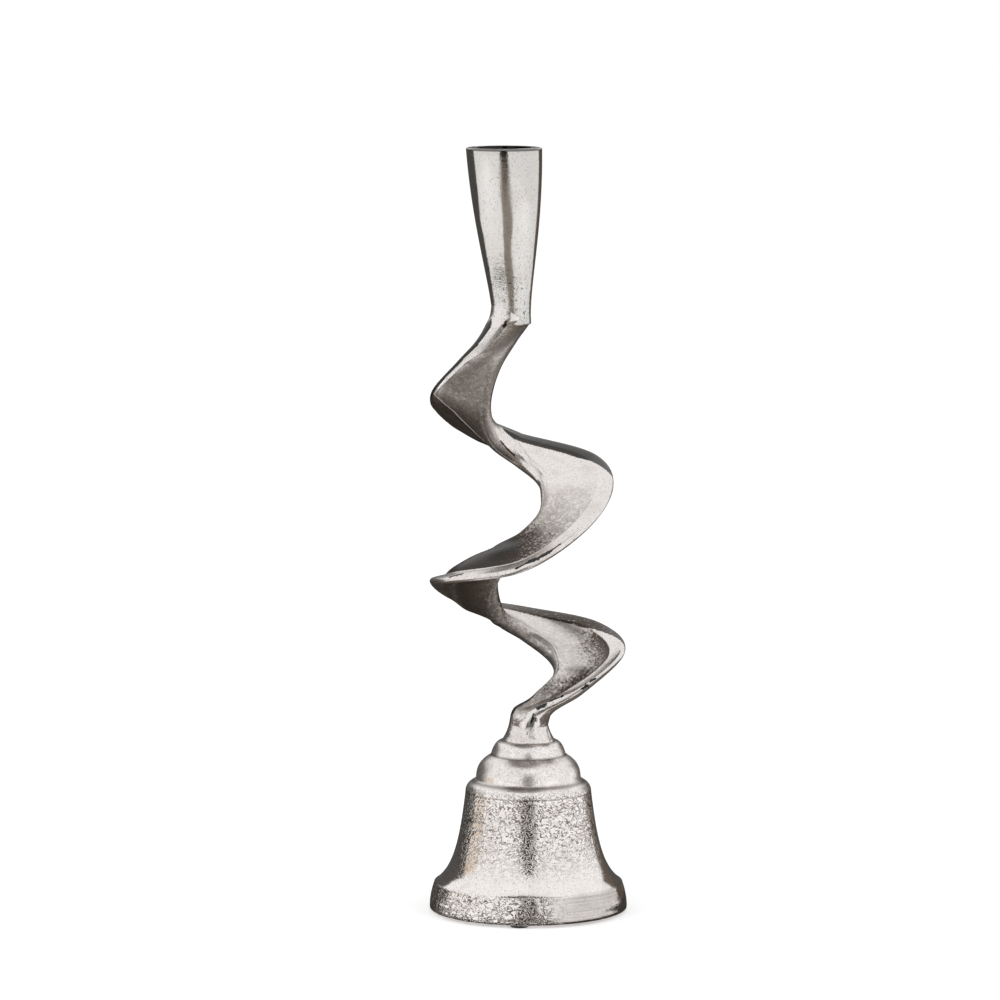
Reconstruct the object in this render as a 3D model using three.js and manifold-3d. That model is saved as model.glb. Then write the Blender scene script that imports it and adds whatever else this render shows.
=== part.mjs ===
// A cast candlestick: a hollow bell base, a scooped ribbon stem coiled one and a half turns,
// and a tapered cup for one dinner candle. Millimetres, +Z up, seen from -Y.
// The origin is the centre of the base, on the surface that the felt pads stand on.
import * as THREE from "three";
import { mergeVertices } from "three/addons/utils/BufferGeometryUtils.js";
import Module from "manifold-3d";

// Fits
const SEAT_GAP = 0.3;
const SPIGOT_CLEARANCE = 0.3;
const SCREW_CLEARANCE = 0.3;

// Felt pads
const PAD_COUNT = 4;
const PAD_RADIUS = 3.5;
const PAD_THICKNESS = 1;
const FIRST_PAD_ANGLE = 264;

// Bell base, from the rim up
const RIM_RADIUS = 39.4;
const RIM_HEIGHT = 10.8;
const RIM_DRAFT = 1.8;
const RIM_ROUND = 0.8;
const FOOT_RING_WIDTH = 9;
const SKIRT_HEIGHT = 36.4;
const SKIRT_TOP_RADIUS = 25.1;
const SHOULDER_HEIGHT = 5.2;
const SHOULDER_INSET = 1.5;
const LEDGE_DROP = 1.8;
const DOME_RADIUS = 20.9;
const DOME_HEIGHT = 9.6;
const TIER_RADIUS = 15;
const TIER_HEIGHT = 5.6;
const CROWN_RADIUS = 11.4;
const BELL_WALL = 4;
const CROWN_THICKNESS = 7;
const CEILING_RADIUS = 10.5;

// Fixing screw, with its two washers under the crown
const SCREW_RADIUS = 2.5;
const SCREW_LENGTH = 16;
const TAP_RUNOUT = 1;
const HEAD_RADIUS = 4.25;
const HEAD_HEIGHT = 5;
const HEX_ACROSS_FLATS = 4;
const HEX_DEPTH = 2.5;
const WASHER_RADIUS = 5;
const WASHER_THICKNESS = 1;
const LOCK_RADIUS = 4.6;
const LOCK_THICKNESS = 1.2;
const LOCK_SPLIT = 14;
const HEX_SIDES = 6;

// Stem foot and neck
const FOOT_RADIUS = 10.9;
const NECK_RADIUS = 8;
const NECK_HEIGHT = 8;
const NECK_CROWN = 2.4;
const NECK_OVERLAP = 1.6;

// Coil: the rim is the outer edge of the ribbon and the core edge is the inner one
const COIL_REACH = 37;
const COIL_CORE = 10;
const COIL_PITCH = 71;
const LAST_BEND_RISE = 30.9;
const FIRST_BEND_DROP = 32;
const COIL_TOP_OFFSET = 4.6;
const CORE_ROUND = 3.2;
const LAND_WIDTH = 6.2;
const LAND_HEIGHT = 1.9;
const SCOOP_EDGE_WIDTH = 2.4;
const EDGE_ROUND = 1.3;
const RIDGE_DEPTH = 2.75;
const BELLY_DEPTH = 2.4;
const CORE_RUN_SHARE = 1.8;
const CORE_TOP_SHARE = 0.62;
const CORE_BELLY_SHARE = 0.85;
const SCOOP_EDGE_SHARE = 0.4;

// Candle cup
const CUP_HEIGHT = 66.6;
const CUP_LEAN = 2.6;
const CUP_OFFSET = 2.4;
const CUP_ROOT_RADIUS = 7.6;
const CUP_TOP_RADIUS = 15;
const CUP_LIP_ROUND = 1;
const BORE_RADIUS = 11.3;
const BORE_TAPER = 0.8;
const BORE_DEPTH = 26;
const SPIGOT_RADIUS = 4;
const SPIGOT_LENGTH = 8;

// Heights that follow from the sizes above
const RIM_BOTTOM = PAD_THICKNESS;
const RIM_TOP = RIM_BOTTOM + RIM_HEIGHT;
const SKIRT_TOP = RIM_TOP + SKIRT_HEIGHT;
const DOME_BOTTOM = SKIRT_TOP + SHOULDER_HEIGHT;
const DOME_TOP = DOME_BOTTOM + DOME_HEIGHT;
const CROWN_TOP = DOME_TOP + TIER_HEIGHT;
const CEILING = CROWN_TOP - CROWN_THICKNESS;
const NECK_TOP = CROWN_TOP + NECK_HEIGHT;
const COIL_TURNS = 1.5;
const LAST_BEND = CROWN_TOP + LAST_BEND_RISE;
const FIRST_BEND = LAST_BEND + COIL_PITCH * COIL_TURNS;
const CUP_BOTTOM = FIRST_BEND + FIRST_BEND_DROP;

// Handles of the turned curves, as shares of each curve's run and rise
const RIM_ROUND_HANDLE = [[1, 0]];
const RIM_HANDLE = [[0, 0.46]];
const SKIRT_HANDLES = [[0.58, 0.14], [0.8, 0.42]];
const SHOULDER_HANDLE = [[0, 0.59]];
const DOME_HANDLES = [[0, 0.55], [0.4, 0.78]];
const TIER_HANDLE = [[0.35, 0.85]];
const HOLLOW_HANDLES = [[0.25, 0.53], [0.65, 0.83]];
const FOOT_HANDLE = [[1, 0.5]];
const NECK_CROWN_HANDLE = [[0.1, 1]];
const CUP_HANDLES = [[0.05, 0.203], [0.85, 0.528]];
const LIP_HANDLE = [[0, 1]];

// The coil every eighth of a turn, from the first bend on the left, round the back, to the last bend
// on the right: the rim as a share of the reach, the core edge as a share of the core radius, the
// departure from an even rise and the rim's height over the core edge as shares of the pitch, the
// height of the scoop as a share of the land's, and the bevel below the rim as a share of the land's width.
const FIRST_BEND_TURN = 180;
const ROW_TURN = 45;
const COIL_ROWS = [
  [0.946, 1.12, -0.021, 0.077, 0.47, 0.32],
  [1.102, 1.16, -0.087, 0.108, 0.47, 1.05],
  [1.057, 1.05, -0.086, 0.112, 0.47, 1.45],
  [1.131, 0.87, -0.056, 0.1, 0.47, 1.37],
  [0.98, 0.74, -0.033, 0.044, 0.47, 1.37],
  [0.963, 0.9, -0.054, -0.048, 1, 1.37],
  [1.056, 1.12, -0.083, -0.153, 1.63, 1.37],
  [1.114, 1.13, -0.044, -0.141, 2.37, 1.37],
  [1.015, 1.05, -0.03, -0.034, 1.84, 1.37],
  [1.075, 1.19, -0.099, 0.066, 1.11, 1.37],
  [1.05, 1.3, -0.076, 0.109, 0.53, 1.37],
  [1.121, 1.31, -0.047, 0.17, -0.11, 1.37],
  [1.054, 1.05, -0.025, 0.165, -0.26, 1.37],
];
// The ribbon between the cup and the first bend, and between the last bend and the neck: the share of
// the way that the turn, rim radius, core radius, rim height and core height have gone. The scoop and
// the bevel go with the turn.
const CUP_TURN = 152;
const LEAD_IN_SHARES = [
  [0.04, 0.135, -0.007, 0.112, 0.042],
  [0.14, 0.298, 0.369, 0.302, 0.274],
  [0.39, 0.586, 0.791, 0.558, 0.585],
];
const NECK_TURN = 760;
const RUN_OUT_SHARES = [
  [0.62, 0.484, 0.398, 0.513, 0.335],
  [0.9, 0.926, 0.887, 0.841, 0.636],
];
const END_SCOOP_SHARE = 0.47;
const CUP_BEVEL_SHARE = 0.32;
// The stations over which a round section flattens into the ribbon, counted from either end
const CUP_BLEND = [0.2, 3.6];
const NECK_BLEND = [0.4, 2.6];

// Facets, and how far a cutter runs past the face that it cuts
const ROUND_SIDES = 44;
const SMALL_SIDES = 24;
const STEPS_PER_STATION = 4;
const CURVE_STEPS = 5;
const CUP_CURVE_STEPS = 7;
const CUT_PAST = 1;
const WELD = 1e-4;

const castAluminium = { color: 0xc4bfba, roughness: 0.3, metalness: 1 };
const zincPlate = { color: 0xa9abad, roughness: 0.35, metalness: 1 };
const darkFelt = { color: 0x2b2725, roughness: 0.95, metalness: 0 };

const wasm = await Module();
wasm.setup();

function toSolid(geometry) {
  const bare = geometry.clone();
  bare.deleteAttribute("normal");
  bare.deleteAttribute("uv");
  const merged = mergeVertices(bare, WELD);
  const vertProperties = new Float32Array(merged.attributes.position.array);
  const triVerts = new Uint32Array(merged.index.array);
  return new wasm.Manifold(new wasm.Mesh({ numProp: 3, vertProperties, triVerts }));
}

function toGeometry(solid) {
  const mesh = solid.getMesh();
  const geometry = new THREE.BufferGeometry();
  geometry.setAttribute("position", new THREE.Float32BufferAttribute(mesh.vertProperties, 3));
  geometry.setIndex(Array.from(mesh.triVerts));
  geometry.computeVertexNormals();
  return geometry;
}

function part(name, geometry, finish) {
  const mesh = new THREE.Mesh(geometry, new THREE.MeshStandardMaterial(finish));
  mesh.name = name;
  return mesh;
}

// Turns a profile of radius and height round the Z axis
function turned(points, sides) {
  return new THREE.LatheGeometry(points, sides).rotateX(Math.PI / 2);
}

function cylinder(radius, bottom, top, sides) {
  const height = top - bottom;
  return new THREE.CylinderGeometry(radius, radius, height, sides)
    .rotateX(Math.PI / 2)
    .translate(0, 0, bottom + height / 2);
}

// Carries a profile on to a point, bent by one handle or two
function bendTo(profile, x, y, handles) {
  const from = profile.currentPoint.clone();
  const points = handles.flatMap(([run, rise]) => {
    return [from.x + (x - from.x) * run, from.y + (y - from.y) * rise];
  });
  if (handles.length === 2) {
    profile.bezierCurveTo(...points, x, y);
  } else {
    profile.quadraticCurveTo(...points, x, y);
  }
}

// The bell is one turned profile: outside from the rim to the crown, down the screw hole, and back
// along the hollow to the foot ring.
function bellBase() {
  const holeRadius = SCREW_RADIUS + SCREW_CLEARANCE;
  const hollowFoot = RIM_RADIUS - FOOT_RING_WIDTH;
  const profile = new THREE.Path();
  profile.moveTo(hollowFoot, RIM_BOTTOM);
  profile.lineTo(RIM_RADIUS - RIM_ROUND, RIM_BOTTOM);
  bendTo(profile, RIM_RADIUS, RIM_BOTTOM + RIM_ROUND, RIM_ROUND_HANDLE);
  bendTo(profile, RIM_RADIUS - RIM_DRAFT, RIM_TOP, RIM_HANDLE);
  bendTo(profile, SKIRT_TOP_RADIUS, SKIRT_TOP, SKIRT_HANDLES);
  bendTo(profile, SKIRT_TOP_RADIUS - SHOULDER_INSET, DOME_BOTTOM - LEDGE_DROP, SHOULDER_HANDLE);
  profile.lineTo(DOME_RADIUS, DOME_BOTTOM);
  bendTo(profile, TIER_RADIUS, DOME_TOP, DOME_HANDLES);
  bendTo(profile, CROWN_RADIUS, CROWN_TOP, TIER_HANDLE);
  profile.lineTo(holeRadius, CROWN_TOP);
  profile.lineTo(holeRadius, CEILING);
  profile.lineTo(CEILING_RADIUS, CEILING);
  profile.lineTo(DOME_RADIUS - BELL_WALL, DOME_BOTTOM);
  profile.lineTo(SKIRT_TOP_RADIUS - BELL_WALL, SKIRT_TOP - BELL_WALL / 2);
  bendTo(profile, hollowFoot, RIM_TOP - RIM_HEIGHT / 4, HOLLOW_HANDLES);
  profile.lineTo(hollowFoot, RIM_BOTTOM);
  return part("bell_base", turned(profile.getPoints(CURVE_STEPS), ROUND_SIDES), castAluminium);
}

// The coil's axis leans a little to the left on its way up
function axisX(height) {
  return -COIL_TOP_OFFSET * (height - NECK_TOP) / (CUP_BOTTOM - NECK_TOP);
}

function onCoil(turn, radius, height, axisHeight) {
  const angle = THREE.MathUtils.degToRad(turn);
  return new THREE.Vector3(axisX(axisHeight) + radius * Math.cos(angle), -radius * Math.sin(angle), height);
}

// The cup's own frame: its root is just off the coil's axis, and it leans with the coil
const cupAxis = new THREE.Vector3(0, 0, 1).applyAxisAngle(
  new THREE.Vector3(0, 1, 0), -THREE.MathUtils.degToRad(CUP_LEAN)
);
const cupRoot = onCoil(CUP_TURN, CUP_OFFSET, CUP_BOTTOM, CUP_BOTTOM);

// A station is the turn, the rim and core radius, the rim and core height, the scoop and the bevel
function coilStations() {
  const root = CUP_BOTTOM - SEAT_GAP;
  const neckEnd = NECK_TOP - NECK_OVERLAP;
  const scoop = LAND_HEIGHT * END_SCOOP_SHARE;
  const bends = COIL_ROWS.map(([reach, core, lift, cant, scooped, bevelled], row) => {
    const middle = FIRST_BEND + COIL_PITCH * (lift - ROW_TURN * row / 360);
    const turn = FIRST_BEND_TURN + ROW_TURN * row;
    const rise = COIL_PITCH * cant / 2;
    return [
      turn, COIL_REACH * reach, COIL_CORE * core, middle + rise, middle - rise,
      LAND_HEIGHT * scooped, LAND_WIDTH * bevelled,
    ];
  });
  const cup = [
    CUP_TURN, CUP_OFFSET + CUP_ROOT_RADIUS, CUP_OFFSET - CUP_ROOT_RADIUS, root, root,
    scoop, LAND_WIDTH * CUP_BEVEL_SHARE,
  ];
  const lastBend = bends[bends.length - 1];
  const neck = [NECK_TURN, NECK_RADIUS, -NECK_RADIUS, neckEnd, neckEnd, scoop, lastBend[6]];
  const between = (from, to) => (shares) => from.map((value, i) => {
    return THREE.MathUtils.lerp(value, to[i], shares[i] ?? shares[0]);
  });
  const leadIn = LEAD_IN_SHARES.map(between(cup, bends[0]));
  const runOut = RUN_OUT_SHARES.map(between(lastBend, neck));
  return [cup, ...leadIn, ...bends, ...runOut, neck];
}

// The ribbon's section, from the core edge over the top to the rim and back below: a round bar along
// the core, a scoop, a flat land along the rim, and a ridge under it. The round ends have as many points.
function ribbonOutline(width, scoop, bevel) {
  const half = width / 2;
  const barTop = CORE_ROUND * CORE_TOP_SHARE;
  const barCorner = CORE_ROUND * (1 - Math.SQRT1_2);
  const rimCorner = EDGE_ROUND * (1 - Math.SQRT1_2);
  return [
    [-half, 0],
    [-half + barCorner, CORE_ROUND * Math.SQRT1_2],
    [-half + CORE_ROUND, CORE_ROUND],
    [-half + CORE_ROUND * CORE_RUN_SHARE, (barTop + Math.max(scoop, barTop)) / 2],
    [0, scoop],
    [half - LAND_WIDTH - SCOOP_EDGE_WIDTH, THREE.MathUtils.lerp(scoop, LAND_HEIGHT, SCOOP_EDGE_SHARE)],
    [half - LAND_WIDTH, LAND_HEIGHT],
    [half - LAND_WIDTH / 2, LAND_HEIGHT],
    [half - EDGE_ROUND, LAND_HEIGHT],
    [half - rimCorner, LAND_HEIGHT - rimCorner],
    [half, LAND_HEIGHT - EDGE_ROUND],
    [half - rimCorner, LAND_HEIGHT - EDGE_ROUND * 2],
    [half - bevel / 2, -RIDGE_DEPTH / 2],
    [half - bevel, -RIDGE_DEPTH],
    [half - bevel - SCOOP_EDGE_WIDTH, -RIDGE_DEPTH],
    [0, -BELLY_DEPTH],
    [-half + CORE_ROUND * CORE_RUN_SHARE, -CORE_ROUND * CORE_BELLY_SHARE],
    [-half + CORE_ROUND, -CORE_ROUND],
    [-half + barCorner, -CORE_ROUND * Math.SQRT1_2],
  ];
}

const RIM_POINT = 10;

function roundOutline(width, count) {
  const thickness = Math.min(width / 2, CUP_ROOT_RADIUS);
  return Array.from({ length: count }, (_, i) => {
    const share = i > RIM_POINT ? (RIM_POINT - i) / (count - RIM_POINT) : 1 - i / RIM_POINT;
    return [Math.cos(Math.PI * share) * width / 2, Math.sin(Math.PI * share) * thickness];
  });
}

function ribbonRings() {
  const stations = coilStations();
  const last = stations.length - 1;
  const edge = (radius, height) => new THREE.CatmullRomCurve3(
    stations.map((s) => onCoil(s[0], s[radius], s[height], (s[3] + s[4]) / 2))
  );
  const rim = edge(1, 3);
  const core = edge(2, 4);
  const hollow = new THREE.CatmullRomCurve3(stations.map((s) => new THREE.Vector3(s[5], s[6], 0)));
  const middle = (t) => rim.getPoint(t).add(core.getPoint(t)).multiplyScalar(0.5);
  const steps = last * STEPS_PER_STATION;
  const rings = [];
  for (let k = 0; k <= steps; k += 1) {
    const t = k / steps;
    const station = t * last;
    const centre = middle(t);
    const across = rim.getPoint(t).sub(core.getPoint(t));
    const width = across.length();
    across.normalize();
    const along = middle(Math.min(1, (k + 1) / steps)).sub(middle(Math.max(0, (k - 1) / steps)));
    if (k === 0) {
      along.copy(cupAxis).negate();
      across.projectOnPlane(cupAxis).normalize();
    }
    if (k === steps) {
      along.set(0, 0, -1);
    }
    const up = along.cross(across).normalize();
    const flat = THREE.MathUtils.smoothstep(station, ...CUP_BLEND)
      * THREE.MathUtils.smoothstep(last - station, ...NECK_BLEND);
    const { x: scoop, y: bevel } = hollow.getPoint(t);
    const ribbon = ribbonOutline(width, scoop, bevel);
    const round = roundOutline(width, ribbon.length);
    rings.push(ribbon.map(([x, y], i) => {
      const reach = THREE.MathUtils.lerp(round[i][0], x, flat);
      const height = THREE.MathUtils.lerp(round[i][1], y, flat);
      return centre.clone().addScaledVector(across, reach).addScaledVector(up, height);
    }));
  }
  return rings;
}

// Skins a row of rings that have the same number of points, and closes both ends
function loft(rings) {
  const sides = rings[0].length;
  const points = rings.flat();
  const indices = [];
  for (let ring = 0; ring < rings.length - 1; ring += 1) {
    for (let i = 0; i < sides; i += 1) {
      const a = ring * sides + i;
      const b = ring * sides + (i + 1) % sides;
      indices.push(a, a + sides, b, b, a + sides, b + sides);
    }
  }
  const endFan = (start, flip) => {
    for (let i = 1; i < sides - 1; i += 1) {
      indices.push(start, ...(flip ? [start + i + 1, start + i] : [start + i, start + i + 1]));
    }
  };
  endFan(0, false);
  endFan(points.length - sides, true);
  const geometry = new THREE.BufferGeometry().setFromPoints(points);
  geometry.setIndex(indices);
  return geometry;
}

// The stem is one casting: a conical foot, the ribbon, and a spigot that the cup is set on
function twistedStem() {
  const foot = new THREE.Path();
  foot.moveTo(0, CROWN_TOP);
  foot.lineTo(FOOT_RADIUS, CROWN_TOP);
  bendTo(foot, NECK_RADIUS, NECK_TOP, FOOT_HANDLE);
  bendTo(foot, 0, NECK_TOP + NECK_CROWN, NECK_CROWN_HANDLE);
  const spigot = cylinder(SPIGOT_RADIUS, -SPIGOT_LENGTH, SPIGOT_LENGTH, SMALL_SIDES);
  spigot.applyQuaternion(new THREE.Quaternion().setFromUnitVectors(new THREE.Vector3(0, 0, 1), cupAxis));
  spigot.translate(...cupRoot.toArray());
  const tapEnd = screwSeat() + SCREW_LENGTH + TAP_RUNOUT;
  const tap = cylinder(SCREW_RADIUS + SCREW_CLEARANCE, CROWN_TOP - CUT_PAST, tapEnd, SMALL_SIDES);
  const solid = toSolid(loft(ribbonRings()))
    .add(toSolid(turned(foot.getPoints(CURVE_STEPS), ROUND_SIDES)))
    .add(toSolid(spigot))
    .subtract(toSolid(tap));
  return part("twisted_stem", toGeometry(solid), castAluminium);
}

// The cup is a turned body with a tapered bore above and the spigot's socket below
function candleCup() {
  const socketRadius = SPIGOT_RADIUS + SPIGOT_CLEARANCE;
  const socketEnd = SPIGOT_LENGTH + SPIGOT_CLEARANCE;
  const boreFloor = CUP_HEIGHT - BORE_DEPTH;
  const profile = new THREE.Path();
  profile.moveTo(0, socketEnd);
  profile.lineTo(socketRadius, socketEnd);
  profile.lineTo(socketRadius, 0);
  profile.lineTo(CUP_ROOT_RADIUS, 0);
  bendTo(profile, CUP_TOP_RADIUS, CUP_HEIGHT - CUP_LIP_ROUND, CUP_HANDLES);
  bendTo(profile, CUP_TOP_RADIUS - CUP_LIP_ROUND, CUP_HEIGHT, LIP_HANDLE);
  profile.lineTo(BORE_RADIUS, CUP_HEIGHT);
  profile.lineTo(BORE_RADIUS - BORE_TAPER, boreFloor);
  profile.lineTo(0, boreFloor);
  const cup = part("candle_cup", turned(profile.getPoints(CUP_CURVE_STEPS), ROUND_SIDES), castAluminium);
  cup.position.copy(cupRoot);
  cup.rotation.y = -THREE.MathUtils.degToRad(CUP_LEAN);
  return cup;
}

// The screw goes up through both washers and the crown into the tapped foot of the stem
function screwSeat() {
  return CEILING - WASHER_THICKNESS - LOCK_THICKNESS;
}

function fixingScrew() {
  const seat = screwSeat();
  const shank = toSolid(cylinder(SCREW_RADIUS, seat - CUT_PAST, seat + SCREW_LENGTH, SMALL_SIDES));
  const head = toSolid(cylinder(HEAD_RADIUS, seat - HEAD_HEIGHT, seat, SMALL_SIDES));
  const hexRadius = HEX_ACROSS_FLATS / Math.sqrt(3);
  const hexTop = seat - HEAD_HEIGHT + HEX_DEPTH;
  const socket = toSolid(cylinder(hexRadius, seat - HEAD_HEIGHT - CUT_PAST, hexTop, HEX_SIDES));
  return part("fixing_screw", toGeometry(head.add(shank).subtract(socket)), zincPlate);
}

function flatWasher() {
  const hole = SCREW_RADIUS + SCREW_CLEARANCE;
  const bottom = CEILING - WASHER_THICKNESS;
  const section = [
    [hole, bottom],
    [WASHER_RADIUS, bottom],
    [WASHER_RADIUS, CEILING],
    [hole, CEILING],
    [hole, bottom],
  ];
  const points = section.map(([radius, height]) => new THREE.Vector2(radius, height));
  return part("flat_washer", turned(points, SMALL_SIDES), zincPlate);
}

function lockWasher() {
  const hole = SCREW_RADIUS + SCREW_CLEARANCE;
  const start = THREE.MathUtils.degToRad(LOCK_SPLIT / 2);
  const end = 2 * Math.PI - start;
  const shape = new THREE.Shape();
  shape.absarc(0, 0, LOCK_RADIUS, start, end, false);
  shape.absarc(0, 0, hole, end, start, true);
  const geometry = new THREE.ExtrudeGeometry(shape, {
    depth: LOCK_THICKNESS, bevelEnabled: false, curveSegments: SMALL_SIDES / 2,
  });
  geometry.translate(0, 0, screwSeat());
  return part("lock_washer", geometry, zincPlate);
}

// Round felt pads are stuck under the middle of the foot ring
function feltPads() {
  const ringRadius = RIM_RADIUS - FOOT_RING_WIDTH / 2;
  return Array.from({ length: PAD_COUNT }, (_, i) => {
    const angle = THREE.MathUtils.degToRad(FIRST_PAD_ANGLE + 360 * i / PAD_COUNT);
    const pad = part(`felt_pad_${i + 1}`, cylinder(PAD_RADIUS, 0, PAD_THICKNESS, SMALL_SIDES), darkFelt);
    pad.position.set(ringRadius * Math.cos(angle), ringRadius * Math.sin(angle), 0);
    return pad;
  });
}

const candlestick = new THREE.Group();
candlestick.add(
  ...feltPads(),
  bellBase(),
  fixingScrew(),
  lockWasher(),
  flatWasher(),
  twistedStem(),
  candleCup()
);

export default candlestick;
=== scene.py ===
import math
import bpy
import bmesh
import numpy as np
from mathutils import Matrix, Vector


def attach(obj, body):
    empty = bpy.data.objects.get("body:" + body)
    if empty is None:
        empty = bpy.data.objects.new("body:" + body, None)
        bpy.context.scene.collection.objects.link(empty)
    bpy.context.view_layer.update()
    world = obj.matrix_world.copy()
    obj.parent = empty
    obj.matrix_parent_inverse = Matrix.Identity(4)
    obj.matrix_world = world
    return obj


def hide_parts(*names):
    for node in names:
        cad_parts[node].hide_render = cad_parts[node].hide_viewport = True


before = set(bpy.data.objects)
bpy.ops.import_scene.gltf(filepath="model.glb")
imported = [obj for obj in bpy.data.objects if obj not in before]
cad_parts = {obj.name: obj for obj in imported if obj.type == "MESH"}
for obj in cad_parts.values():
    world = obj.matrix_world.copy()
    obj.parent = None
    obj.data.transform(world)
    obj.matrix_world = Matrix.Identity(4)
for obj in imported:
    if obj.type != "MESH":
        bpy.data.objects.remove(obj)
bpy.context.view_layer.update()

# Felt pads: four round dots of pressed dark felt, punched from sheet and stuck under the foot ring
# of the bell, so that the casting does not scratch the table that it stands on.
MM = 0.001
SHARP_ANGLE, WELD_DISTANCE = 35, 1e-6
PAD_RADIUS, PAD_THICKNESS, PAD_EDGE = 3.5, 1.0, 0.25
PAD_RING_RADIUS, FIRST_PAD_ANGLE, PAD_COUNT = 34.9, 264, 4
PAD_SIDES, PAD_EDGE_STEPS = 48, 4
FELT_DARK, FELT_PALE = (0.012, 0.011, 0.010, 1), (0.045, 0.040, 0.036, 1)
FIBRE_SCALE, FUZZ_DEPTH = 3500.0, 0.2


def add_node(tree, kind, inputs=None, **settings):
    node = tree.nodes.new(kind)
    for name, value in settings.items():
        setattr(node, name, value)
    for socket, value in (inputs or {}).items():
        if isinstance(value, bpy.types.NodeSocket):
            tree.links.new(value, node.inputs[socket])
        else:
            node.inputs[socket].default_value = value
    return node


def node_group(name, kind, inputs, outputs):
    tree = bpy.data.node_groups.new(name, kind)
    for way, sockets in (("INPUT", inputs), ("OUTPUT", outputs)):
        for socket, value_kind in sockets.items():
            tree.interface.new_socket(socket, in_out=way, socket_type="NodeSocket" + value_kind)
    return tree, tree.nodes.new("NodeGroupInput").outputs, tree.nodes.new("NodeGroupOutput").inputs


def turning_tree():
    tree, given, made = node_group("turned_piece", "GeometryNodeTree", {
        "Shape": "Geometry", "Sides": "Int", "Lean": "Float", "Foot": "Vector", "Finish": "Material"},
        {"Shape": "Geometry"})
    count = add_node(tree, "GeometryNodeAttributeDomainSize", {"Geometry": given["Shape"]})
    columns = add_node(tree, "FunctionNodeIntegerMath", {0: given["Sides"], 1: 1}, operation="ADD")
    grid = add_node(tree, "GeometryNodeMeshGrid", {
        "Vertices X": columns.outputs[0], "Vertices Y": count.outputs["Point Count"]})
    index = add_node(tree, "GeometryNodeInputIndex")
    row = add_node(tree, "FunctionNodeIntegerMath", {
        0: index.outputs[0], 1: count.outputs["Point Count"]}, operation="MODULO")
    column = add_node(tree, "FunctionNodeIntegerMath", {
        0: index.outputs[0], 1: count.outputs["Point Count"]}, operation="DIVIDE_FLOOR")
    place = add_node(tree, "GeometryNodeInputPosition")
    on_profile = add_node(tree, "GeometryNodeSampleIndex", {
        "Geometry": given["Shape"], "Value": place.outputs[0], "Index": row.outputs[0]},
        data_type="FLOAT_VECTOR")
    turn = add_node(tree, "ShaderNodeMath", {0: column.outputs[0], 1: given["Sides"]}, operation="DIVIDE")
    angle = add_node(tree, "ShaderNodeMath", {0: turn.outputs[0], 1: math.tau}, operation="MULTIPLY")
    turned = add_node(tree, "ShaderNodeVectorRotate", {
        "Vector": on_profile.outputs[0], "Angle": angle.outputs[0]}, rotation_type="Z_AXIS")
    spread = add_node(tree, "GeometryNodeSetPosition", {
        "Geometry": grid.outputs["Mesh"], "Position": turned.outputs[0]})
    closed = add_node(tree, "GeometryNodeMergeByDistance", {
        "Geometry": spread.outputs[0], "Distance": WELD_DISTANCE})
    height = add_node(tree, "ShaderNodeSeparateXYZ", {0: place.outputs[0]})
    slide = add_node(tree, "ShaderNodeMath", {
        0: height.outputs["Z"], 1: given["Lean"]}, operation="MULTIPLY")
    leaning = add_node(tree, "GeometryNodeSetPosition", {
        "Geometry": closed.outputs[0],
        "Offset": add_node(tree, "ShaderNodeCombineXYZ", {"X": slide.outputs[0]}).outputs[0]})
    stood = add_node(tree, "GeometryNodeTransform", {
        "Geometry": leaning.outputs[0], "Translation": given["Foot"]})
    smooth = add_node(tree, "GeometryNodeSetShadeSmooth", {"Geometry": stood.outputs[0]})
    whole = add_node(tree, "GeometryNodeRealizeInstances", {"Geometry": smooth.outputs[0]})
    coated = add_node(tree, "GeometryNodeSetMaterial", {
        "Geometry": whole.outputs[0], "Material": given["Finish"]})
    tree.links.new(coated.outputs[0], made["Shape"])
    return tree


def grow(obj, tree, **values):
    modifier = obj.modifiers.new(tree.name, "NODES")
    modifier.node_group = tree
    for item in tree.interface.items_tree:
        key = item.name.replace(" ", "_")
        if item.in_out == "INPUT" and key in values:
            modifier[item.identifier] = values[key]
    shaped = obj.evaluated_get(bpy.context.evaluated_depsgraph_get())
    mesh = bpy.data.meshes.new_from_object(shaped)
    obj.modifiers.clear()
    obj.data = mesh
    outward = bmesh.new()
    outward.from_mesh(mesh)
    bmesh.ops.recalc_face_normals(outward, faces=outward.faces)
    outward.to_mesh(mesh)
    outward.free()
    mesh.set_sharp_from_angle(angle=math.radians(SHARP_ANGLE))
    return obj


def outline_object(name, points):
    mesh = bpy.data.meshes.new(name)
    mesh.from_pydata(
        [(radius * MM, 0, height * MM) for radius, height in points],
        [(i, i + 1) for i in range(len(points) - 1)], [])
    obj = bpy.data.objects.new(name, mesh)
    bpy.context.collection.objects.link(obj)
    return obj


# The handles of a bend are shares of the way from the last point to its end
def bend(points, x, y, handles, steps):
    from_x, from_y = points[-1]
    for k in range(1, steps + 1):
        run = [(0, 0), *handles, (1, 1)]
        share = k / steps
        while len(run) > 1:
            run = [tuple(a + (b - a) * share for a, b in zip(p, q)) for p, q in zip(run, run[1:])]
        points.append((from_x + (x - from_x) * run[0][0], from_y + (y - from_y) * run[0][1]))


def shader(name, **sockets):
    material = bpy.data.materials.new(name)
    material.use_nodes = True
    surface = material.node_tree.nodes["Principled BSDF"]
    for socket, value in sockets.items():
        surface.inputs[socket.replace("_", " ")].default_value = value
    return material, material.node_tree, surface


def object_place(tree):
    return add_node(tree, "ShaderNodeTexCoord").outputs["Object"]


# Sockets 6 and 7 of a Mix node are its two colours, and output 2 is the mixed one
def mixed(tree, share, first, second):
    node = add_node(tree, "ShaderNodeMix", {0: share, 6: first, 7: second}, data_type="RGBA")
    return node.outputs[2]


turned_piece = turning_tree()

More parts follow.
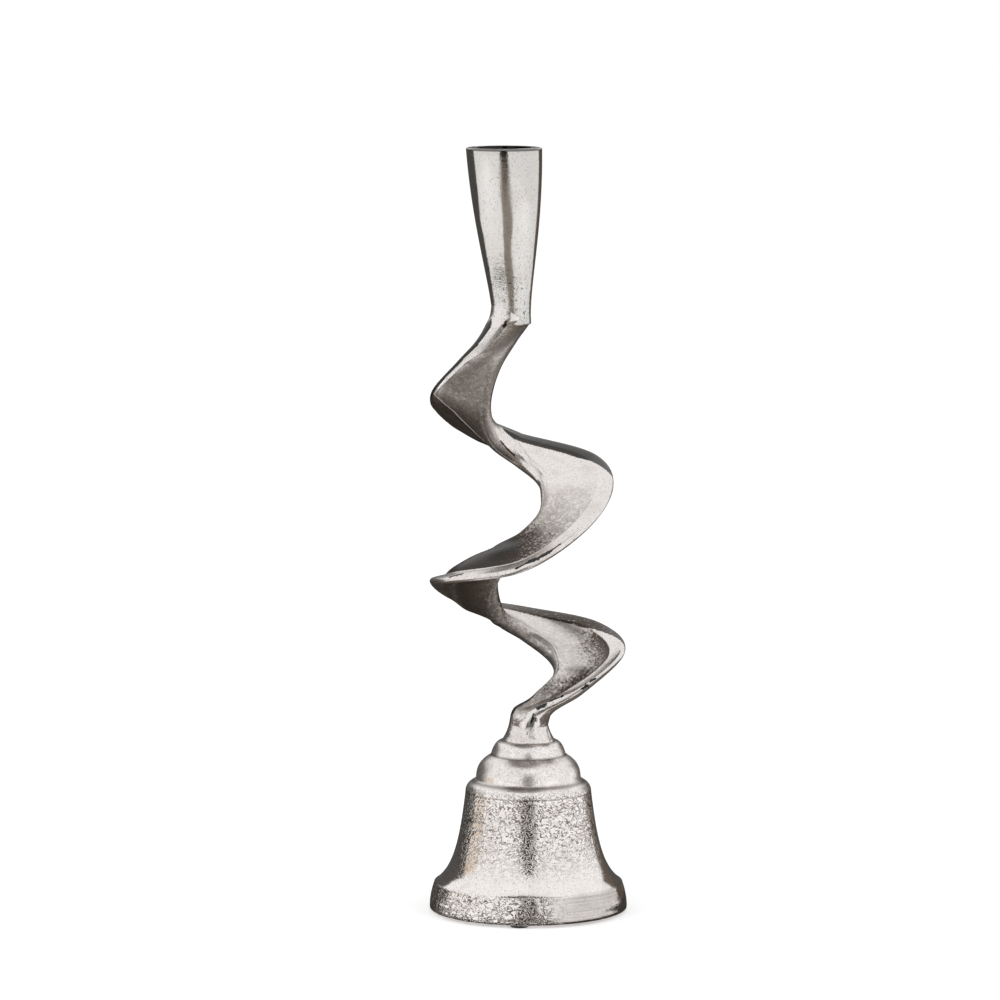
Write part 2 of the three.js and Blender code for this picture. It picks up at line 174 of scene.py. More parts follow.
felt, felt_nodes, felt_surface = shader(
    "pressed_felt", Roughness=0.95, Sheen_Weight=0.4, Sheen_Roughness=0.6)
felt_fibres = add_node(felt_nodes, "ShaderNodeTexNoise", {
    "Vector": object_place(felt_nodes), "Scale": FIBRE_SCALE, "Detail": 4.0, "Distortion": 1.5})
felt_nodes.links.new(
    mixed(felt_nodes, felt_fibres.outputs[0], FELT_DARK, FELT_PALE), felt_surface.inputs["Base Color"])
felt_fuzz = add_node(felt_nodes, "ShaderNodeBump", {
    "Height": felt_fibres.outputs[0], "Strength": 0.8, "Distance": FUZZ_DEPTH * MM})
felt_nodes.links.new(felt_fuzz.outputs[0], felt_surface.inputs["Normal"])

pad_outline = [(0, PAD_THICKNESS), (PAD_RADIUS - PAD_EDGE, PAD_THICKNESS)]
bend(pad_outline, PAD_RADIUS, PAD_THICKNESS - PAD_EDGE, [(1, 0)], PAD_EDGE_STEPS)
pad_outline.append((PAD_RADIUS, PAD_EDGE))
bend(pad_outline, PAD_RADIUS - PAD_EDGE, 0, [(0, 1)], PAD_EDGE_STEPS)
pad_outline.append((0, 0))


def ring_tree():
    tree, given, made = node_group("pads_on_ring", "GeometryNodeTree", {
        "Shape": "Geometry", "Count": "Int", "Ring Radius": "Float", "First Angle": "Float",
        "Finish": "Material"}, {"Shape": "Geometry"})
    circle = add_node(tree, "GeometryNodeMeshCircle", {
        "Vertices": given["Count"], "Radius": given["Ring Radius"]})
    start = add_node(tree, "ShaderNodeCombineXYZ", {"Z": given["First Angle"]})
    turned = add_node(tree, "GeometryNodeTransform", {
        "Geometry": circle.outputs[0], "Rotation": start.outputs[0]})
    placed = add_node(tree, "GeometryNodeInstanceOnPoints", {
        "Points": turned.outputs[0], "Instance": given["Shape"]})
    whole = add_node(tree, "GeometryNodeRealizeInstances", {"Geometry": placed.outputs[0]})
    coated = add_node(tree, "GeometryNodeSetMaterial", {
        "Geometry": whole.outputs[0], "Material": given["Finish"]})
    tree.links.new(coated.outputs[0], made["Shape"])
    return tree


felt_pads = outline_object("felt_pads", pad_outline)
grow(felt_pads, turned_piece, Sides=PAD_SIDES, Finish=felt)
grow(felt_pads, ring_tree(), Count=PAD_COUNT, Ring_Radius=PAD_RING_RADIUS * MM,
     First_Angle=math.radians(FIRST_PAD_ANGLE), Finish=felt)
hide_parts("felt_pad_1", "felt_pad_2", "felt_pad_3", "felt_pad_4")
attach(felt_pads, "root")

# Bell base: one hollow casting in aluminium, poured in a coarse sand mould, whose grain is left on the
# skirt and most of the rim and rubbed down on the dome. Its crown is drilled for the fixing screw.
RIM_RADIUS, RIM_BOTTOM, RIM_TOP, RIM_ROUND, SKIRT_FOOT = 39.4, 1.0, 11.8, 0.8, 37.6
RIM_EDGE_ROUND = 0.25
SKIRT_TOP_RADIUS, SKIRT_TOP = 25.1, 48.2
SHOULDER_RADIUS, SHOULDER_TOP = 23.6, 51.6
DOME_RADIUS, DOME_BOTTOM, DOME_TOP = 20.9, 53.4, 63.0
DOME_CORNER = [(0.3, -0.2), (0.05, -0.03), (0.0, 0.05)]
TIER_RADIUS, CROWN_RADIUS, CROWN_TOP, CROWN_EDGE = 15.0, 11.4, 68.6, 0.1
HOLE_RADIUS, CEILING_RADIUS, CEILING = 2.8, 10.5, 61.6
HOLLOW_FOOT, HOLLOW_DOME, HOLLOW_TOP, BELL_WALL, FOOT_RING_DROP = 30.4, 16.9, 21.1, 4.0, 2.7
BELL_SIDES = 256

# Each bend: the radius and height where it ends, its handles and its steps
RIM_TO_SHOULDER = [
    (RIM_RADIUS, RIM_BOTTOM + RIM_ROUND, [(1, 0)], 6),
    (SKIRT_FOOT, RIM_TOP - RIM_EDGE_ROUND, [(0, 0.46)], 14),
    (SKIRT_FOOT - RIM_EDGE_ROUND, RIM_TOP, [(0.05, 0.75)], 4),
    (SKIRT_TOP_RADIUS, SKIRT_TOP, [(0.58, 0.14), (0.8, 0.42)], 48),
    (SHOULDER_RADIUS, SHOULDER_TOP, [(0, 0.59)], 10)]
DOME_TO_CROWN = [
    (TIER_RADIUS, DOME_TOP, [(0, 0.55), (0.4, 0.78)], 18),
    (CROWN_RADIUS, CROWN_TOP, [(0.35, 0.85)], 10)]
HOLLOW_BEND = (HOLLOW_FOOT, RIM_TOP - FOOT_RING_DROP, [(0.25, 0.53), (0.65, 0.83)], 14)

BELL_METAL, BELL_PAINTED_SHADE = (0.9, 0.86, 0.835, 1), (0.27, 0.24, 0.22, 1)
STAIN, GLINT, GRAIN_MARK = (0.60, 0.54, 0.50, 1), (0.78, 0.75, 0.72, 1), (0.17, 0.145, 0.13, 1)
DULL_PALE, DULL_DARK = (0.36, 0.315, 0.275, 1), (0.20, 0.17, 0.145, 1)
CLOUD_SCALE, GLINT_SCALE, SPECK_SCALE = 95.0, 650.0, 1600.0
GRAIN_STRETCH, GRAIN_CREST = (0.75, 0.75, 1.15), 0.46
DULL_ROUGHNESS, STAIN_ROUGHNESS, GROOVE_DEPTH, CLOUD_DEPTH = 0.46, 0.12, 0.55, 0.7
BELL_GRAIN_SCALE, BELL_BUMP, BELL_POLISH = 560.0, 0.14, 0.98
SKIRT_GLOSS, DOME_GLOSS = 0.1, 0.27
FLARE_GRAIN, DOME_GRAIN, BRUSHED_GRAIN = 0.1, 0.25, 0.12

# Where each finish, and the painted shade on the right of the rim, starts and ends: heights, or distances
# to the right of the axis
SKIRT_GRAIN_RISE, SHOULDER_FADE = (15, 34), (48.5, 51.5)
DOME_GLOSS_RISE, RIM_FADE = (48.5, 50.5), (11.2, 12.4)
RIM_GRAIN_SIDE, BRUSHED_SHADE_SIDE, BRUSH_STRETCH = (4, 16), (6, 18), (40, 40, 2000)

# Each crevice, darkened as painted shade: its height, how far its painted shade reaches and how dark it is
CREVICES = [(48.4, 0.5, 0.7), (52.6, 0.9, 0.8), (63.1, 0.7, 0.8), (68.5, 0.5, 0.6)]
CREVICE_CORE = 0.1

bell_outline = [(HOLLOW_FOOT, RIM_BOTTOM), (RIM_RADIUS - RIM_ROUND, RIM_BOTTOM)]
for bell_bend in RIM_TO_SHOULDER:
    bend(bell_outline, *bell_bend)
bell_outline += [(DOME_RADIUS + out, DOME_BOTTOM + rise) for out, rise in DOME_CORNER]
for bell_bend in DOME_TO_CROWN:
    bend(bell_outline, *bell_bend)
bell_outline += [(CROWN_RADIUS - CROWN_EDGE, CROWN_TOP), (HOLE_RADIUS, CROWN_TOP), (HOLE_RADIUS, CEILING)]
bell_outline += [(CEILING_RADIUS, CEILING), (HOLLOW_DOME, DOME_BOTTOM)]
bell_outline.append((HOLLOW_TOP, SKIRT_TOP - BELL_WALL / 2))
bend(bell_outline, *HOLLOW_BEND)
bell_outline.append((HOLLOW_FOOT, RIM_BOTTOM))


def noise(tree, place, scale, detail=2.0, distortion=0.0):
    return add_node(tree, "ShaderNodeTexNoise", {
        "Vector": place, "Scale": scale, "Detail": detail, "Distortion": distortion}).outputs[0]


def stretched(tree, place, scale):
    return add_node(tree, "ShaderNodeMapping", {"Vector": place, "Scale": scale}).outputs[0]


def axes_of(tree, place):
    return add_node(tree, "ShaderNodeSeparateXYZ", {0: place}).outputs


def math_of(tree, operation, first, second=0.0):
    return add_node(tree, "ShaderNodeMath", {0: first, 1: second}, operation=operation).outputs[0]


def ramp(tree, value, low, high, at_low, at_high):
    return add_node(tree, "ShaderNodeMapRange", {
        "Value": value, "From Min": low, "From Max": high, "To Min": at_low, "To Max": at_high}).outputs[0]


def fade(tree, distance, start, end, at_start, at_end):
    return ramp(tree, distance, start * MM, end * MM, at_start, at_end)


def cast_metal_tree():
    tree, given, made = node_group(
        "cast_metal", "ShaderNodeTree",
        {"Place": "Vector", "Metal": "Color", "Polish": "Float", "Gloss": "Float", "Grain": "Float",
         "Grain Scale": "Float"},
        {"Colour": "Color", "Roughness": "Float", "Height": "Float"})
    level = stretched(tree, given["Place"], GRAIN_STRETCH)
    grain = noise(tree, level, given["Grain Scale"], 1.0, 1.2)
    cloud = noise(tree, given["Place"], CLOUD_SCALE, 6.0, 0.5)
    stain = ramp(tree, cloud, 0.48, 0.72, 0.0, 0.45)
    clean = mixed(tree, stain, given["Metal"], STAIN)
    dull = mixed(tree, cloud, DULL_PALE, DULL_DARK)
    glints = math_of(
        tree, "MULTIPLY", ramp(tree, noise(tree, given["Place"], GLINT_SCALE, 3.0), 0.5, 0.6, 0.0, 0.9),
        ramp(tree, given["Polish"], 0.05, 0.5, 0.1, 1.0))
    speckled = mixed(tree, glints, dull, GLINT)
    metal = mixed(tree, given["Polish"], speckled, clean)
    crest = math_of(tree, "ABSOLUTE", math_of(tree, "SUBTRACT", grain, GRAIN_CREST))
    worms = math_of(tree, "MULTIPLY", ramp(tree, crest, 0.015, 0.07, 1.0, 0.0), given["Grain"])
    specks = ramp(tree, noise(tree, given["Place"], SPECK_SCALE, 1.0), 0.61, 0.70, 0.0, 0.5)
    marks = math_of(tree, "MAXIMUM", worms, specks)
    tree.links.new(mixed(tree, marks, metal, GRAIN_MARK), made["Colour"])
    haze = math_of(tree, "MULTIPLY", stain, STAIN_ROUGHNESS)
    dullness = ramp(tree, given["Polish"], 0.0, 1.0, DULL_ROUGHNESS, given["Gloss"])
    tree.links.new(math_of(tree, "ADD", dullness, haze), made["Roughness"])
    grooves = math_of(tree, "MULTIPLY", ramp(tree, crest, 0.0, 0.12, 0.0, GROOVE_DEPTH), given["Grain"])
    lumps = math_of(tree, "MULTIPLY", cloud, CLOUD_DEPTH)
    tree.links.new(math_of(tree, "ADD", grooves, lumps), made["Height"])
    return tree


def cast_metal(tree, surface, depth, **values):
    inputs = {name.replace("_", " "): value for name, value in values.items()}
    metal = add_node(tree, "ShaderNodeGroup", inputs, node_tree=cast_metal_group)
    bump = add_node(tree, "ShaderNodeBump", {"Height": metal.outputs["Height"], "Distance": depth * MM})
    tree.links.new(metal.outputs["Colour"], surface.inputs["Base Color"])
    tree.links.new(metal.outputs["Roughness"], surface.inputs["Roughness"])
    tree.links.new(bump.outputs[0], surface.inputs["Normal"])
    return metal, bump


cast_metal_group = cast_metal_tree()
grained, grained_nodes, grained_surface = shader("grained_casting", Metallic=1.0)
bell_place = object_place(grained_nodes)
bell_axes = axes_of(grained_nodes, bell_place)
skirt_grain = math_of(
    grained_nodes, "MULTIPLY", fade(grained_nodes, bell_axes["Z"], *SKIRT_GRAIN_RISE, FLARE_GRAIN, 1.0),
    fade(grained_nodes, bell_axes["Z"], *SHOULDER_FADE, 1.0, DOME_GRAIN))
on_rim = fade(grained_nodes, bell_axes["Z"], *RIM_FADE, 1.0, 0.0)
rim_grain = math_of(
    grained_nodes, "MULTIPLY", on_rim,
    fade(grained_nodes, bell_axes["X"], *RIM_GRAIN_SIDE, 1.0, BRUSHED_GRAIN))
bell_cast = cast_metal(
    grained_nodes, grained_surface, BELL_BUMP, Place=bell_place, Metal=BELL_METAL, Polish=BELL_POLISH,
    Gloss=fade(grained_nodes, bell_axes["Z"], *DOME_GLOSS_RISE, SKIRT_GLOSS, DOME_GLOSS),
    Grain=math_of(grained_nodes, "MAXIMUM", skirt_grain, rim_grain), Grain_Scale=BELL_GRAIN_SCALE)[0]
# Brushed lines on the right of the rim, drawn dark there as painted shade on that side.
brushed_shade_side = math_of(
    grained_nodes, "MULTIPLY", on_rim, fade(grained_nodes, bell_axes["X"], *BRUSHED_SHADE_SIDE, 0.0, 1.0))
brush_lines = noise(grained_nodes, stretched(grained_nodes, bell_place, BRUSH_STRETCH), 1.0)
brush_and_crevice_shade = math_of(
    grained_nodes, "MULTIPLY", brushed_shade_side, ramp(grained_nodes, brush_lines, 0.35, 0.65, 0.32, 0.62))
# Painted shade: each crevice between the tiers is darkened towards the shade colour, most at its middle.
for height, reach, depth in CREVICES:
    away = math_of(
        grained_nodes, "ABSOLUTE", math_of(grained_nodes, "SUBTRACT", bell_axes["Z"], height * MM))
    crevice_shade = fade(grained_nodes, away, CREVICE_CORE, reach, depth, 0.0)
    brush_and_crevice_shade = math_of(grained_nodes, "MAXIMUM", brush_and_crevice_shade, crevice_shade)
# Painted shade mixed into the bell's colour: in the crevices and on the right side of the rim.
grained_nodes.links.new(
    mixed(grained_nodes, brush_and_crevice_shade, bell_cast.outputs["Colour"], BELL_PAINTED_SHADE),
    grained_surface.inputs["Base Color"])

bell = outline_object("bell_casting", bell_outline)
grow(bell, turned_piece, Sides=BELL_SIDES, Finish=grained)
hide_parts("bell_base")
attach(bell, "root")

# Fixing screw and washers: a zinc plated M5 cap screw with a split and a flat washer, turned up from
# inside the bell through its crown into the foot of the stem.
ZINC_DARK, ZINC_PALE, ZINC_CLOUD_SCALE = (0.58, 0.60, 0.62, 1), (0.72, 0.73, 0.73, 1), 500.0
zinc, zinc_nodes, zinc_surface = shader("zinc_plate", Metallic=1.0)
zinc_cloud = noise(zinc_nodes, object_place(zinc_nodes), ZINC_CLOUD_SCALE, 4.0)
zinc_nodes.links.new(mixed(zinc_nodes, zinc_cloud, ZINC_DARK, ZINC_PALE), zinc_surface.inputs["Base Color"])
zinc_nodes.links.new(ramp(zinc_nodes, zinc_cloud, 0.3, 0.7, 0.28, 0.42), zinc_surface.inputs["Roughness"])
for fastener in ("fixing_screw", "lock_washer", "flat_washer"):
    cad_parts[fastener].data.materials.clear()
    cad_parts[fastener].data.materials.append(zinc)

# Twisted stem: a casting in the same metal, a scooped ribbon coiled one and a half turns round an axis
# that leans a little, on a conical foot. Its lip and hollow were filed and polished by hand after it was
# cast, and its underside was left dull.
CUP_BOTTOM, NECK_TOP, TOP_OFFSET = 238.0, 76.6, 4.6
FIRST_BEND, COIL_PITCH, COIL_REACH, COIL_CORE = 206.0, 71.0, 37.0, 10.0
FIRST_TURN, ROWS_PER_TURN = 180, 8
CUP_TURN, CUP_OFFSET, CUP_ROOT_RADIUS, CUP_LEAN = 152, 2.4, 7.6, 2.6
NECK_TURN, NECK_RADIUS, NECK_OVERLAP, FOOT_RADIUS = 760, 8.0, 1.6, 10.9
END_SCOOP, CUP_BEVEL = 0.9, 8.0
SPIGOT, SPIGOT_INSET, SPIGOT_SHIFT = 10.0, 0.3, 1.3

# The ribbon's section, from the round core bar over the hollow and the land to the lip, and back below
CORE_ROUND, BAR_WIDTH, BAR_TOP, BAR_BELOW = 3.2, 1.8, 0.62, 0.85
LAND_WIDTH, LAND_HEIGHT, LAND_CROWN, SCOOP_EDGE, SCOOP_RISE = 6.2, 1.9, 0.05, 2.4, 0.4
LIP_START, LIP_FALL, LIP_EDGE, LIP_DROP, RIM_EDGE, RIM_TUCK = 1.3, 0.1, 0.35, 0.55, 0.5, 0.3
BEVEL_BOW, FOLD_EDGE, FOLD_LIFT, UNDER_LIFT, WEB_LIFT = 0.2, 0.4, 0.02, 0.1, 0.3
LIP_POLISH, BAR_FOOT_POLISH, BAR_SIDE_POLISH, CREASE_SHADE_POLISH = 0.8, 0.8, 0.9, 0.5
STEPS_PER_STATION, STEPS_PER_CORNER, LEAST_STEP = 32, 5, 1e-4
FOOT_BEND = (FOOT_RADIUS, CROWN_TOP, [(0.25, 0.5)], 14)

# Each row, an eighth of a turn on: shares of the reach, the core and the pitch, for its lift and its cant,
# and of the land's height and width, for its scoop and its bevel
COIL_ROWS = [
    (0.946, 1.12, -0.021, 0.077, 0.47, 0.32), (1.102, 1.16, -0.087, 0.108, 0.47, 3.1),
    (1.057, 1.05, -0.086, 0.112, 0.47, 2.4), (1.131, 0.87, -0.056, 0.100, 0.47, 1.37),
    (0.980, 0.74, -0.033, 0.044, 0.47, 1.37), (0.963, 0.90, -0.054, -0.048, 1.0, 1.37),
    (1.056, 1.12, -0.083, -0.153, 1.63, 1.37), (1.114, 1.13, -0.044, -0.141, 2.37, 1.37),
    (1.015, 1.05, -0.030, -0.034, 1.84, 1.37), (1.075, 1.19, -0.099, 0.066, 1.11, 1.37),
    (1.050, 1.30, -0.076, 0.109, 0.53, 1.37), (1.121, 1.31, -0.047, 0.170, -0.11, 1.37),
    (1.054, 1.05, -0.025, 0.165, -0.26, 1.37)]

# Stations between the cup and the first row, and between the last row and the neck: shares of the way
LEAD_IN_SHARES = [
    (0.04, 0.135, -0.007, 0.112, 0.042, 0, 0.15), (0.14, 0.298, 0.369, 0.302, 0.274, 0, 0.4),
    (0.39, 0.586, 0.791, 0.558, 0.585, 0, 0.95)]
RUN_OUT_SHARES = [(0.62, 0.484, 0.398, 0.513, 0.335, 0, 0), (0.9, 0.926, 0.887, 0.841, 0.636, 0.6, 0)]
CUP_BLEND, NECK_BLEND = (0.2, 3.6), (0.4, 2.6)

# How the section, its finish and its painted shade change: stations along the ribbon, and the value at each
STEM_FINISH = {
    "under_polish": ((0, 4, 7, 9, 12, 14, 19), (0.8, 0.62, 0.55, 0.2, 0.0, 0.2, 0.7)),
    "core_polish": ((0, 4.2, 5, 9, 10, 14, 15, 19), (0.7, 0.7, 1, 1, 0.5, 0.4, 0.8, 1)),
    "bevel_polish": ((0, 3.7, 4.2, 15, 15.8, 16.8, 17.2, 18.5, 19), (1, 1, 0.3, 0.3, 1, 1, 0.1, 0.1, 1)),
    "ridge_depth": ((0, 2.5, 3, 4, 4.5, 5.7, 6.3), (2.75, 2, 1.2, 1.4, 2.2, 2.2, 2.75)),
    "rim_drop": ((4.6, 5, 5.25, 5.5, 5.75, 6, 6.5, 7.4), (0.3, 1.8, 3.2, 5.2, 6.6, 6.6, 3.6, 0.3)),
    "land_rise": ((4.9, 5.45, 6), (0, 2.6, 0)),
    "under_shade": ((3.9, 4, 4.25, 4.5, 4.75, 5, 5.5, 6, 6.4), (0, 3, 10.5, 15, 19, 22, 25, 26, 0)),
    "bar_rise": ((4.4, 5, 5.7, 6.3, 14, 15, 16.2, 17.2), (1, 1.8, 1.8, 1, 1, 1.5, 1.4, 1)),
    "bar_drop": ((10.6, 11.4, 12.4, 13.2), (1, 2.2, 2, 1)),
    "land_shade": ((0.8, 1.4, 4.5, 5, 5.2, 5.6, 6.9, 7.9, 13, 13.4, 14.9, 16),
                  (0, 1, 1, 0.3, 0.3, 1.6, 1.5, 0, 0, 1.4, 1.3, 0)),
    "land_shade_share": ((0, 8, 13, 19), (1, 1, 0.75, 0.75)),
    "rim_shade": ((0.1, 0.3, 1.2, 4.2, 4.6), (0, 0.05, 0.7, 0.8, 0)),
    "core_shade": ((0.5, 1, 3.5, 4, 16.8, 17.2, 18.2, 18.7), (0, 0.9, 0.9, 0, 0, 3.2, 3.6, 0)),
    "face_polish": ((7.6, 8.8, 9.6, 10.4, 13, 15, 16.2, 17, 17.9, 18.3),
                    (1, 0.6, 0.45, 0.6, 1, 0.75, 0.7, 0.3, 0.3, 1)),
    "dark_face": ((8, 9, 10.4, 12.2, 14.4, 16, 17, 17.6, 18.2),
                  (0, 0.3, 0.85, 0.85, 0, 0, 0.33, 0.33, 0)),
    "patch_shade": ((14.4, 15.3, 16.4, 17.2), (0, 0.76, 0.76, 0))}
# How far the painted shade in the hollow reaches from the land, the width of a painted edge, and a distance
# for no fold
PATCH_REACH, PAINT_EDGE, NO_FOLD = 28.0, 1.2, 1000.0
# Where the painted light under the cup ends, and the height and slope of its line
CREASE_STATIONS, CREASE_HEIGHT, CREASE_SLOPE = 1.2, 235.1, 0.27
FOOT_FINISH = {"polish": 1.0, "painted_shade": 0.0, "fold": NO_FOLD}

# Each slit, a crack drawn black as painted shade: its two ends and half its width
STEM_SLITS = [
    ((-30.7, -28.0, 137.9), (-26.3, -30.1, 139.3), 0.9), ((-4.9, -38.5, 142.7), (-0.6, -37.4, 144.7), 0.6),
    ((-0.6, -37.4, 144.7), (3.9, -36.8, 146.5), 1.0), ((3.9, -36.8, 146.5), (8.3, -34.9, 148.9), 0.8),
    ((8.3, -34.9, 148.9), (12.4, -32.4, 151.5), 0.4), ((21.4, -10.8, 91.0), (23.2, -10.3, 92.2), 0.6),
    ((24.4, -9.8, 93.6), (26.5, -9.2, 94.8), 0.4), ((3.7, -8.6, 82.8), (6.8, -9.4, 84.5), 0.7),
    ((8.4, -9.6, 85.7), (13.7, -10.6, 88.0), 0.3), ((2.0, -8.4, 80.5), (1.1, -8.3, 77.5), 0.4),
    ((1.1, -8.3, 77.5), (-0.6, -8.7, 72.4), 0.3), ((-9.8, -9.4, 234.3), (-8.6, -8.8, 237.0), 0.6)]

STEM_METAL, EDGE_HIGHLIGHT_WHITE = (0.82, 0.78, 0.755, 1), (0.85, 0.81, 0.77, 1)
# Colours of the painted shade on the stem: brown where it is light, black where it is deep
PAINTED_SHADE_BROWN, PAINTED_SHADE_BLACK = (0.1, 0.075, 0.06, 1), (0.05, 0.048, 0.045, 1)
SLIT_SHADE_BLACK = (0.006, 0.005, 0.004, 1)
STEM_GRAIN_SCALE, STEM_BUMP, STEM_GLOSS, SHADE_GRAIN_SCALE, RAGGED_SCALE = 700.0, 0.15, 0.25, 1000.0, 900.0
NECK_LUMP_SCALE, NECK_LUMP_DEPTH, NECK_LUMP_FADE = 160.0, 5.0, (79, 86)
# Painted highlight along the fold line: its core, its reach and its strength
HIGHLIGHT_CORE, HIGHLIGHT_REACH, HIGHLIGHT_SHARE = 0.1, 0.4, 0.8
DULL_GRAIN, POLISHED_GRAIN, SHADE_REACH, SHADE_SOFTNESS = 0.7, 0.12, 1.2, 0.3


def finish_at(name, station):
    return np.interp(station, *STEM_FINISH[name])


def coil_point(turn, radius, height, axis_height):
    lean = -TOP_OFFSET * (axis_height - NECK_TOP) / (CUP_BOTTOM - NECK_TOP)
    angle = math.radians(turn)
    return (lean + radius * math.cos(angle), -radius * math.sin(angle), height)


# Each station: turn, reach of the rim and of the core, height of the rim and of the core, scoop and bevel
def coil_stations():
    bends = []
    for row, (reach, core, lift, cant, scoop, bevel) in enumerate(COIL_ROWS):
        middle = FIRST_BEND + COIL_PITCH * (lift - row / ROWS_PER_TURN)
        rise = COIL_PITCH * cant / 2
        bends.append((FIRST_TURN + 360 / ROWS_PER_TURN * row, COIL_REACH * reach, COIL_CORE * core,
                      middle + rise, middle - rise, LAND_HEIGHT * scoop, LAND_WIDTH * bevel))
    bends = np.array(bends)
    cup = np.array([CUP_TURN, CUP_OFFSET + CUP_ROOT_RADIUS, CUP_OFFSET - CUP_ROOT_RADIUS, CUP_BOTTOM,
                    CUP_BOTTOM, END_SCOOP, CUP_BEVEL])
    in_cup = cup + np.array([0, -SPIGOT_INSET, SPIGOT_INSET, SPIGOT, SPIGOT, 0, 0])
    out_of_cup = cup + np.array([0, SPIGOT_SHIFT, SPIGOT_SHIFT, 0, 0, 0, 0])
    neck_end = NECK_TOP - NECK_OVERLAP
    neck = np.array([NECK_TURN, NECK_RADIUS, -NECK_RADIUS, neck_end, neck_end, END_SCOOP, bends[-1][-1]])
    lead_in = [cup + (bends[0] - cup) * np.array(share) for share in LEAD_IN_SHARES]
    run_out = [bends[-1] + (neck - bends[-1]) * np.array(share) for share in RUN_OUT_SHARES]
    return np.array([in_cup, out_of_cup, *lead_in, *bends, *run_out, neck])


# A centripetal spline through the points
def smooth_through(points, steps):
    points = np.asarray(points, float)
    ends = [2 * points[0] - points[1], *points, 2 * points[-1] - points[-2]]
    path = []
    for p0, p1, p2, p3 in zip(ends, ends[1:], ends[2:], ends[3:]):
        d0, d1, d2 = [max(np.linalg.norm(b - a) ** 0.5, LEAST_STEP)
                      for a, b in ((p0, p1), (p1, p2), (p2, p3))]
        leave = ((p1 - p0) / d0 - (p2 - p0) / (d0 + d1) + (p2 - p1) / d1) * d1
        arrive = ((p2 - p1) / d1 - (p3 - p1) / (d1 + d2) + (p3 - p2) / d2) * d1
        for k in range(steps):
            w = k / steps
            cubic = (2 * p1 - 2 * p2 + leave + arrive) * w ** 3
            path.append(cubic + (3 * p2 - 3 * p1 - 2 * leave - arrive) * w ** 2 + leave * w + p1)
    path.append(points[-1])
    return np.array(path)


def ease(value, start, end):
    share = min(max((value - start) / (end - start), 0.0), 1.0)
    return share * share * (3 - 2 * share)


# Each row: distance across, height, polish, and the angle of its point on the round ends
def ribbon_section(station, width, scoop, bevel):
    half, core = width / 2, CORE_ROUND
    corner, corner_height = core * (1 - math.sqrt(0.5)), core * math.sqrt(0.5)
    under, bar, rim = [finish_at(name, station) for name in ("under_polish", "core_polish", "bevel_polish")]
    drop, rise, deep = [finish_at(name, station) for name in ("rim_drop", "bar_rise", "bar_drop")]
    ridge = finish_at("ridge_depth", station)
    land = LAND_HEIGHT + finish_at("land_rise", station)
    fold = half - bevel
    fold_slope = (ridge - drop) / bevel
    bar_end = core * BAR_WIDTH - half
    bar_top = (core * BAR_TOP + max(scoop, core * BAR_TOP)) / 2
    return np.array([
        (-half, 0, bar, 180),
        (-half + corner, corner_height * rise, bar, 160),
        (-half + core, core * rise, 1, 140),
        (bar_end, bar_top * rise, 1, 122),
        (0, scoop, 1, 104),
        (half - LAND_WIDTH - SCOOP_EDGE, scoop + SCOOP_RISE * (land - scoop), 1, 88),
        (half - LAND_WIDTH, land, 1, 72),
        (half - LAND_WIDTH / 2, land + LAND_CROWN, 1, 54),
        (half - LIP_START, land - LIP_FALL, 1, 36),
        (half - LIP_EDGE, land - LIP_DROP, 1, 18),
        (half, RIM_EDGE, 1, 0),
        (half - RIM_TUCK - RIM_TUCK * drop, -drop, LIP_POLISH, -20),
        (half - bevel / 2, BEVEL_BOW - (ridge + drop) / 2, rim, -44),
        (fold + FOLD_EDGE, fold_slope * FOLD_EDGE - ridge, rim, -66),
        (fold, -ridge, 1, -68),
        (fold - FOLD_EDGE, FOLD_LIFT - ridge, 1, -70),
        (fold - SCOOP_EDGE, UNDER_LIFT - ridge, under, -84),
        ((fold - SCOOP_EDGE + bar_end) / 2, WEB_LIFT - (ridge + core * BAR_BELOW) / 2, under, -104),
        (bar_end, -core * BAR_BELOW * (1 + deep) / 2, (under + bar) / 2, -126),
        (-half + core, -core * deep, bar * BAR_FOOT_POLISH, -142),
        (-half + corner, -corner_height * deep, bar * BAR_SIDE_POLISH, -161)])


# Rows of the section at the crease beside the land, at the lip and at the fold below
CREASE_POINT, RIM_POINT, RIDGE_POINT = 6, 10, 14
TURN, RIM_REACH, CORE_REACH, RIM_LEVEL, CORE_LEVEL, SCOOP = range(6)
stations = coil_stations()


def ribbon_edge(reach, level):
    return smooth_through(
        [coil_point(row[TURN], row[reach], row[level], (row[RIM_LEVEL] + row[CORE_LEVEL]) / 2)
         for row in stations], STEPS_PER_STATION)


def ribbon_ring(station, width, scoop, bevel):
    flat = ease(station, *CUP_BLEND) * ease(len(stations) - 2 - station, *NECK_BLEND)
    section = ribbon_section(station, width, scoop, bevel)
    angles = np.radians(section[:, 3])
    rounded = np.stack([
        np.cos(angles) * width / 2, np.sin(angles) * min(width / 2, CUP_ROOT_RADIUS),
        np.ones(len(angles))], -1)
    ring = rounded * (1 - flat) + section[:, :3] * flat
    rim_side = ring[CREASE_POINT:RIDGE_POINT + 1]
    hollow_side = np.concatenate([ring[RIDGE_POINT:], ring[:CREASE_POINT + 1]])
    return np.concatenate([smooth_through(side, STEPS_PER_CORNER)[:-1] for side in (rim_side, hollow_side)])


